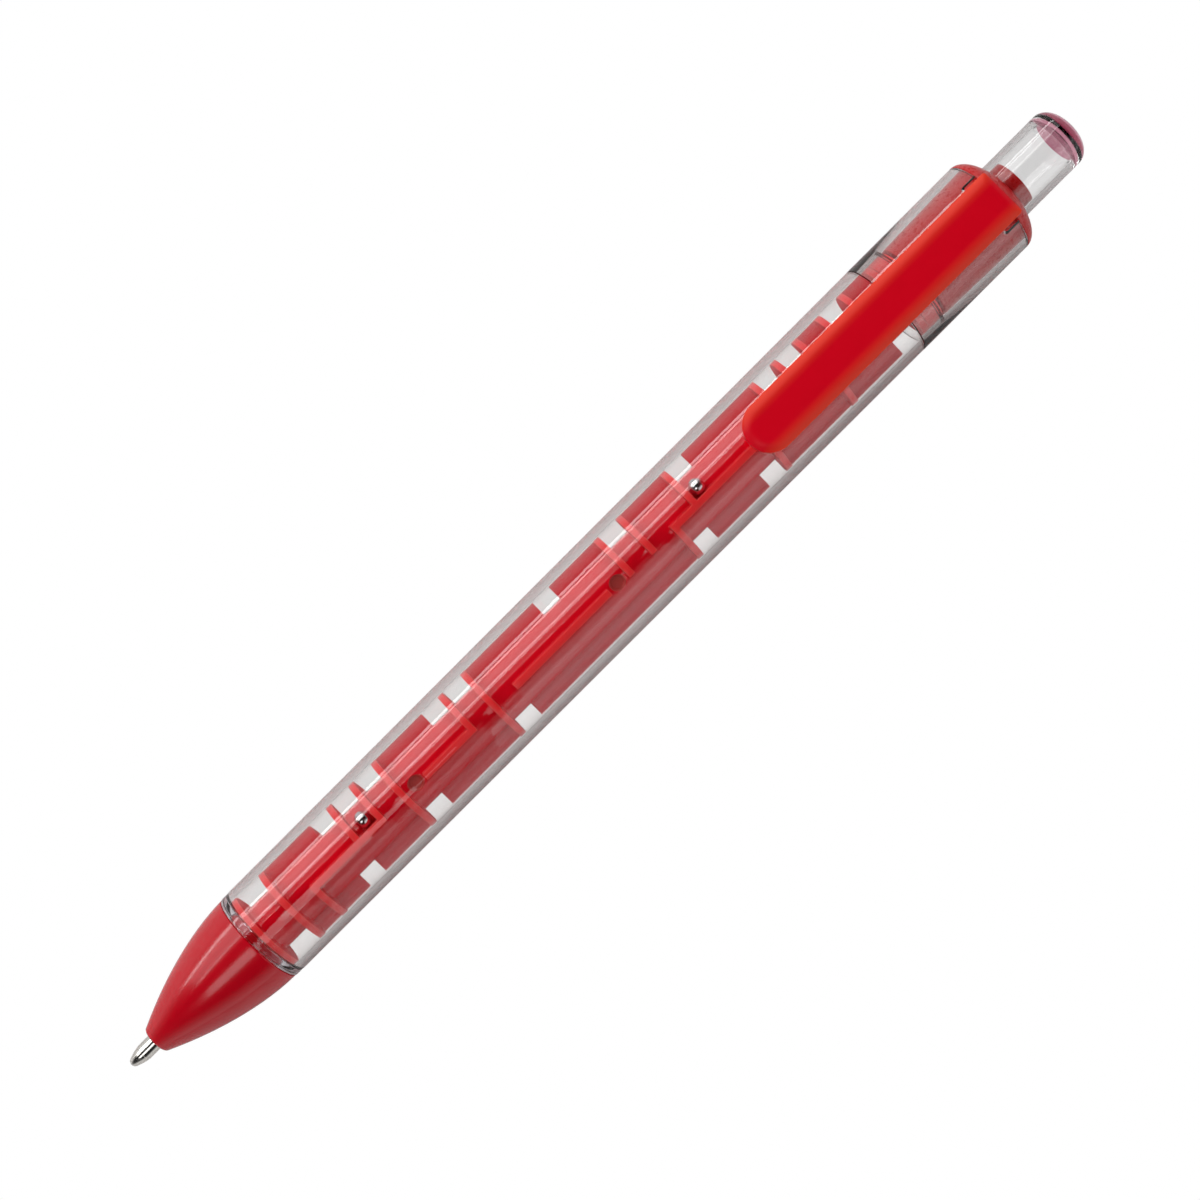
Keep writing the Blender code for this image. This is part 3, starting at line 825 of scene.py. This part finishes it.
def goal_cutter(x, degrees):
    """A round well with a softly flared mouth, pointing straight out of the core."""
    floor, deep_r, rim_r, bevel = 2.35, 0.78, 1.06, 0.12
    flare_start, flare_height, top = CORE_R - 0.3, 0.32, CORE_R + 0.4
    profile = [(floor, 0), (floor, deep_r - bevel), (floor + bevel, deep_r), (CORE_R - 0.34, deep_r)]
    steps, segments = 6, 48
    for k in range(steps + 1):
        t = k / steps
        profile.append((flare_start + flare_height * t, deep_r + (rim_r - deep_r) * t**2))
    profile += [(top, rim_r), (top, 0)]
    maker = bmesh.new()
    tilt = math.radians(degrees)
    out = Vector((0, math.sin(tilt), math.cos(tilt)))
    across = Vector((0, math.cos(tilt), -math.sin(tilt)))
    base = Vector((x, 0, AXIS_Z))
    rings = []
    for height, radius in profile:
        ring = []
        for k in range(segments if radius else 1):
            angle = 2 * math.pi * k / segments
            side = Vector((math.cos(angle), 0, 0)) + across * math.sin(angle)
            ring.append(maker.verts.new((base + out * height + side * radius) * MM))
        rings.append(ring)
    for near, far in zip(rings, rings[1:]):
        for k in range(segments):
            j = (k + 1) % segments
            corners = (near[k % len(near)], near[j % len(near)], far[j % len(far)], far[k % len(far)])
            face = maker.faces.new(list(dict.fromkeys(corners)))
            face.material_index = EDGE_FINISH if far is rings[-2] else WELL_FINISH
    return maker


def build_core():
    finishes = [red_core, red_edge, goal_floor, red_side]
    core = add_piece("core", core_mesh(), finishes, "barrel", ["maze_core"])
    bevel = core.modifiers.new("Edges", "BEVEL")
    bevel.width = 0.1 * MM
    bevel.segments = 2
    bevel.limit_method = "ANGLE"
    bevel.angle_limit = math.radians(50)
    bevel.material = EDGE_FINISH
    bevel.use_clamp_overlap = True
    apply_modifiers(core)
    for number, (x, degrees) in enumerate(GOAL_HOLES):
        combine(core, "DIFFERENCE", goal_cutter(x, degrees), f"cut_goal_{number}")
    smooth(core, 38)
    front, rear = span("core_bushing")
    profile = [
        (front, BUSHING_BORE_R, 1),
        (front, WALL_R, 1),
        (rear, WALL_R, 1),
        (rear, BUSHING_BORE_R, 1),
    ]
    lathe("bushing", profile, [red_core], "barrel", ["core_bushing"])


def build_ball(name, node, body):
    low, high = node_box(node)
    centre = [(a + b) / 2 for a, b in zip(low, high)]
    maker = bmesh.new()
    radius = (high[0] - low[0]) / 2
    bmesh.ops.create_icosphere(maker, subdivisions=5, radius=radius * MM)
    bmesh.ops.translate(maker, verts=maker.verts, vec=[value * MM for value in centre])
    add_piece(name, maker, [steel], body, [node], crease=80)


# Refill, spring and click pieces --------------------------------------------------------------
def build_refill():
    lip, tail = span("refill_tip")
    # Clear of the nose's inner shoulder where the button's forward travel ends.
    shoulder = -64.42
    body_r, tube_r, ink_r = 0.97, 1.25, 0.96
    body_end = -57.0
    profile = [
        (lip, 0.33),
        (lip, 0.43, 0.3),
        (-72.45, 0.52),
        (-72.2, 0.62),
        (-71.95, 0.71),
        (-71.6, 0.82),
        (-71.25, 0.9),
        (-70.97, 0.935),
        (-70.93, 0.9),
        (-70.87, 0.9),
        (-70.83, body_r),
        (shoulder, body_r),
        (shoulder, tube_r, 1),
        (body_end, tube_r, 1),
        (body_end, ink_r),
        (tail, ink_r),
        (tail, 0.5),
        (-66.0, 0.5),
        (-66.2, 0.2),
        (-71.8, 0.2),
        (-72.0, 0.38),
        (-72.45, 0.38),
    ]
    lathe("tip", profile, [nickel], "refill", ["refill_tip"], segments=96, crease=25)
    front, rear = span("refill_tube")
    bore_r, outer_r, collar_r = 1.0, 1.5, 1.9
    collar_front, collar_rear = -53.4, -52.7
    profile = [
        (front, bore_r),
        (front, outer_r, 1),
        (collar_front, outer_r),
        (collar_front, collar_r, 1),
        (collar_rear, collar_r, 1),
        (-52.4, outer_r),
        (rear, outer_r, 1),
        (rear, bore_r),
    ]
    lathe("tube", profile, [tube_plastic], "refill", ["refill_tube"], segments=64)


def build_spring():
    """The return spring, which stretches between the nose's shoulder and the refill's collar."""
    first, last = -65.2, -53.6
    mean_r, wire_r = 1.72, 0.16
    turns, per_turn, sides = 9, 40, 12
    maker = bmesh.new()
    rings = []
    count = turns * per_turn
    rise = (last - first) / (2 * math.pi * turns)
    for i in range(count + 1):
        t = i / count
        turn = 360 * turns * t
        centre = around(first + t * (last - first), mean_r, turn)
        outward = around(0, 1, turn) - around(0, 0, 0)
        forward = Vector((rise * MM, 0, 0)) + (around(0, mean_r, turn + 90) - around(0, 0, 0))
        side = outward.cross(forward).normalized()
        outward = outward.normalized()
        ring = []
        for k in range(sides):
            angle = 2 * math.pi * k / sides
            spoke = outward * math.cos(angle) + side * math.sin(angle)
            ring.append(maker.verts.new(centre + spoke * wire_r * MM))
        rings.append(ring)
    for near, far in zip(rings, rings[1:]):
        for k in range(sides):
            j = (k + 1) % sides
            maker.faces.new((near[k], near[j], far[j], far[k]))
    maker.faces.new(rings[0])
    maker.faces.new(rings[-1])
    nodes = ["return_spring"]
    spring = add_piece("spring", maker, [spring_steel], None, nodes, crease=60)
    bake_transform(spring)


def dress_hidden_nodes():
    """Three pieces inside the pen keep their CAD shapes and only take a finish."""
    finishes = {"cam_sleeve": white_plastic, "cam_rotor": white_plastic, "ink_column": ink_blue}
    for node, finish in finishes.items():
        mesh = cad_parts[node].data
        mesh.materials.clear()
        mesh.materials.append(finish)


# Studio ---------------------------------------------------------------------------------------
def softbox(name, x_range, angles, distance, radiance):
    """A flat white rectangular light beside the pen: it fills those angles about the pen's axis as
    seen from the pen, between two places along X."""
    middle = math.radians((angles[0] + angles[1]) / 2)
    width = 2 * distance * math.tan(math.radians(angles[1] - angles[0]) / 2)
    length = x_range[1] - x_range[0]
    lamp = bpy.data.lights.new(name, "AREA")
    lamp.shape = "RECTANGLE"
    lamp.size = length * MM
    lamp.size_y = width * MM
    lamp.energy = radiance * math.pi * (length * MM) * (width * MM)
    made = bpy.data.objects.new(name, lamp)
    bpy.context.scene.collection.objects.link(made)
    x = (x_range[0] + x_range[1]) / 2
    made.location = Vector((x, distance * math.sin(middle), AXIS_Z + distance * math.cos(middle))) * MM
    made.rotation_euler = (-middle, 0, 0)


def shown_white(nodes, links, shader, output):
    """Plain white where the camera sees it, also through clear plastic, and shader for all
    other light."""
    path = nodes.new("ShaderNodeLightPath")
    white = nodes.new("ShaderNodeEmission" if output.type == "OUTPUT_MATERIAL" else "ShaderNodeBackground")
    white.inputs["Color"].default_value = (1, 1, 1, 1)
    white.inputs["Strength"].default_value = 1.0
    seen = nodes.new("ShaderNodeMath")
    seen.operation = "MAXIMUM"
    links.new(path.outputs["Is Camera Ray"], seen.inputs[0])
    links.new(path.outputs["Is Transmission Ray"], seen.inputs[1])
    # A ray that has bounced off a piece inside sees the studio, not the white.
    bounced = nodes.new("ShaderNodeMath")
    bounced.operation = "ADD"
    links.new(path.outputs["Glossy Depth"], bounced.inputs[0])
    links.new(path.outputs["Diffuse Depth"], bounced.inputs[1])
    direct = nodes.new("ShaderNodeMath")
    direct.operation = "SUBTRACT"
    direct.use_clamp = True
    links.new(seen.outputs[0], direct.inputs[0])
    links.new(bounced.outputs[0], direct.inputs[1])
    mix = nodes.new("ShaderNodeMixShader")
    links.new(direct.outputs[0], mix.inputs[0])
    links.new(shader.outputs[0], mix.inputs[1])
    links.new(white.outputs[0], mix.inputs[2])
    links.new(mix.outputs[0], output.inputs["Surface"])


def build_floor():
    floor_size, drop = 3000, 0.05
    maker = bmesh.new()
    bmesh.ops.create_grid(maker, x_segments=1, y_segments=1, size=floor_size / 2 * MM)
    floor_finish = Nodes("pale_floor")
    floor_finish.set(Base_Color=(0.8, 0.79, 0.785, 1.0), Roughness=0.9)
    tree = floor_finish.tree
    shown_white(tree.nodes, tree.links, floor_finish.shader, floor_finish.output)
    floor = add_piece("floor", maker, [floor_finish.material], None)
    floor.location.z = -drop * MM


def build_world():
    """A soft glow, strongest at the horizon, that falls to zenith at 30 degrees up: sky_end is the
    sine of that angle."""
    horizon, zenith, sky_end = 0.9, 0.01, 0.5
    world = bpy.data.worlds.new("studio")
    bpy.context.scene.world = world
    world.use_nodes = True
    nodes, links = world.node_tree.nodes, world.node_tree.links
    ambient = nodes["Background"]
    ambient.inputs["Color"].default_value = (1, 1, 1, 1)
    direction = nodes.new("ShaderNodeTexCoord").outputs["Generated"]
    upward = nodes.new("ShaderNodeSeparateXYZ")
    links.new(direction, upward.inputs[0])
    fade = nodes.new("ShaderNodeMapRange")
    links.new(upward.outputs["Z"], fade.inputs["Value"])
    fade.inputs["From Min"].default_value = 0.0
    fade.inputs["From Max"].default_value = sky_end
    fade.inputs["To Min"].default_value = horizon
    fade.inputs["To Max"].default_value = zenith
    links.new(fade.outputs["Result"], ambient.inputs["Strength"])
    shown_white(nodes, links, ambient, nodes["World Output"])


def build_lights():
    softbox("light_left", (-420, 420), (28, 59), 420, 1.5)
    softbox("light_left_strip", (-420, 420), (60, 66), 420, 7.0)
    softbox("light_left_edge", (-420, 420), (29, 32), 415, 3.4)
    softbox("light_right", (-60, 520), (-52, -38), 420, 1.2)
    softbox("light_right_faint", (-40, 520), (-38, -24), 420, 0.5)
    softbox("light_right_low", (-60, 520), (-84, -52), 420, 0.7)
    softbox("light_front", (-520, -155), (-22, -2), 520, 2.3)
    softbox("light_front_taper", (-155, -120), (-16, -6), 520, 2.2)
    softbox("light_front_end", (-120, -90), (-12, -9), 520, 1.6)


def build_camera():
    """A camera above the pen that sees it slant across the frame. frame_width is what the frame
    spans at the pen's axis, and the shifts move the picture inside the frame."""
    sensor, distance, frame_width = 36, 230, 131.976
    camera = bpy.data.cameras.new("camera")
    camera.lens = sensor * distance / frame_width
    camera.sensor_width = sensor
    camera.shift_x = 0.01479
    camera.shift_y = 0.04715
    camera.clip_start = 0.01
    made = bpy.data.objects.new("camera", camera)
    bpy.context.scene.collection.objects.link(made)
    made.location = Vector((-6.0, -3.3, AXIS_Z + distance)) * MM
    made.rotation_euler = (0, 0, math.radians(-45))
    bpy.context.scene.camera = made
    bpy.context.scene.view_settings.view_transform = "Standard"


build_nose()
build_ring()
build_barrels()
build_cap()
build_clip()
build_button()
build_plunger()
build_core()
build_ball("steel_ball_a", "maze_ball_a", "ball_a")
build_ball("steel_ball_b", "maze_ball_b", "ball_b")
build_ball("point_ball", "writing_ball", "point")
build_refill()
build_spring()
dress_hidden_nodes()
build_floor()
build_world()
build_lights()
build_camera()
